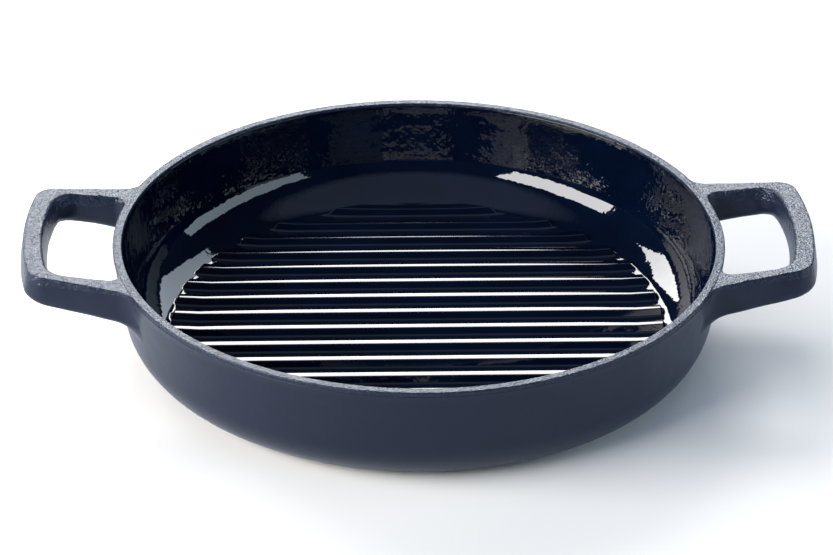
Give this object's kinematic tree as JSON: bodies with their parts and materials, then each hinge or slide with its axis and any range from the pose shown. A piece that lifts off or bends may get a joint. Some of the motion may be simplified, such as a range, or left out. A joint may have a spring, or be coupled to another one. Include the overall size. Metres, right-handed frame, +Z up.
{
  "type": "grill pan",
  "caption": "Round cast iron grill pan with raised parallel ribs on its floor, flared walls and a loop handle on each side, enamelled inside and out.",
  "frame": {"origin": "centre of the flat underside, on the surface the pan stands on", "axes": "+Z up along the pan's axis, +X through the right-hand handle, so that the grill ribs run along X"},
  "size_m": [0.3764, 0.2894, 0.0596],
  "materials": {
    "cast_iron": "as cast, covered all over",
    "gloss_enamel": "very glossy blue-black fired enamel",
    "satin_enamel": "smooth satin navy fired enamel",
    "rough_ground_coat": "thin navy coat over the grain of the sand casting"
  },
  "bodies": {
    "root": {"cast_iron_bowl": "cast_iron", "cast_iron_ribs": "cast_iron", "right_handle_casting": "cast_iron", "left_handle_casting": "cast_iron", "cooking_surface_enamel": "gloss_enamel", "outside_wall_enamel": "satin_enamel", "underside_enamel": "satin_enamel", "right_handle_enamel": "satin_enamel", "left_handle_enamel": "satin_enamel", "rim_ground_coat": "rough_ground_coat", "right_handle_ground_coat": "rough_ground_coat", "left_handle_ground_coat": "rough_ground_coat"}
  },
  "joints": []
}
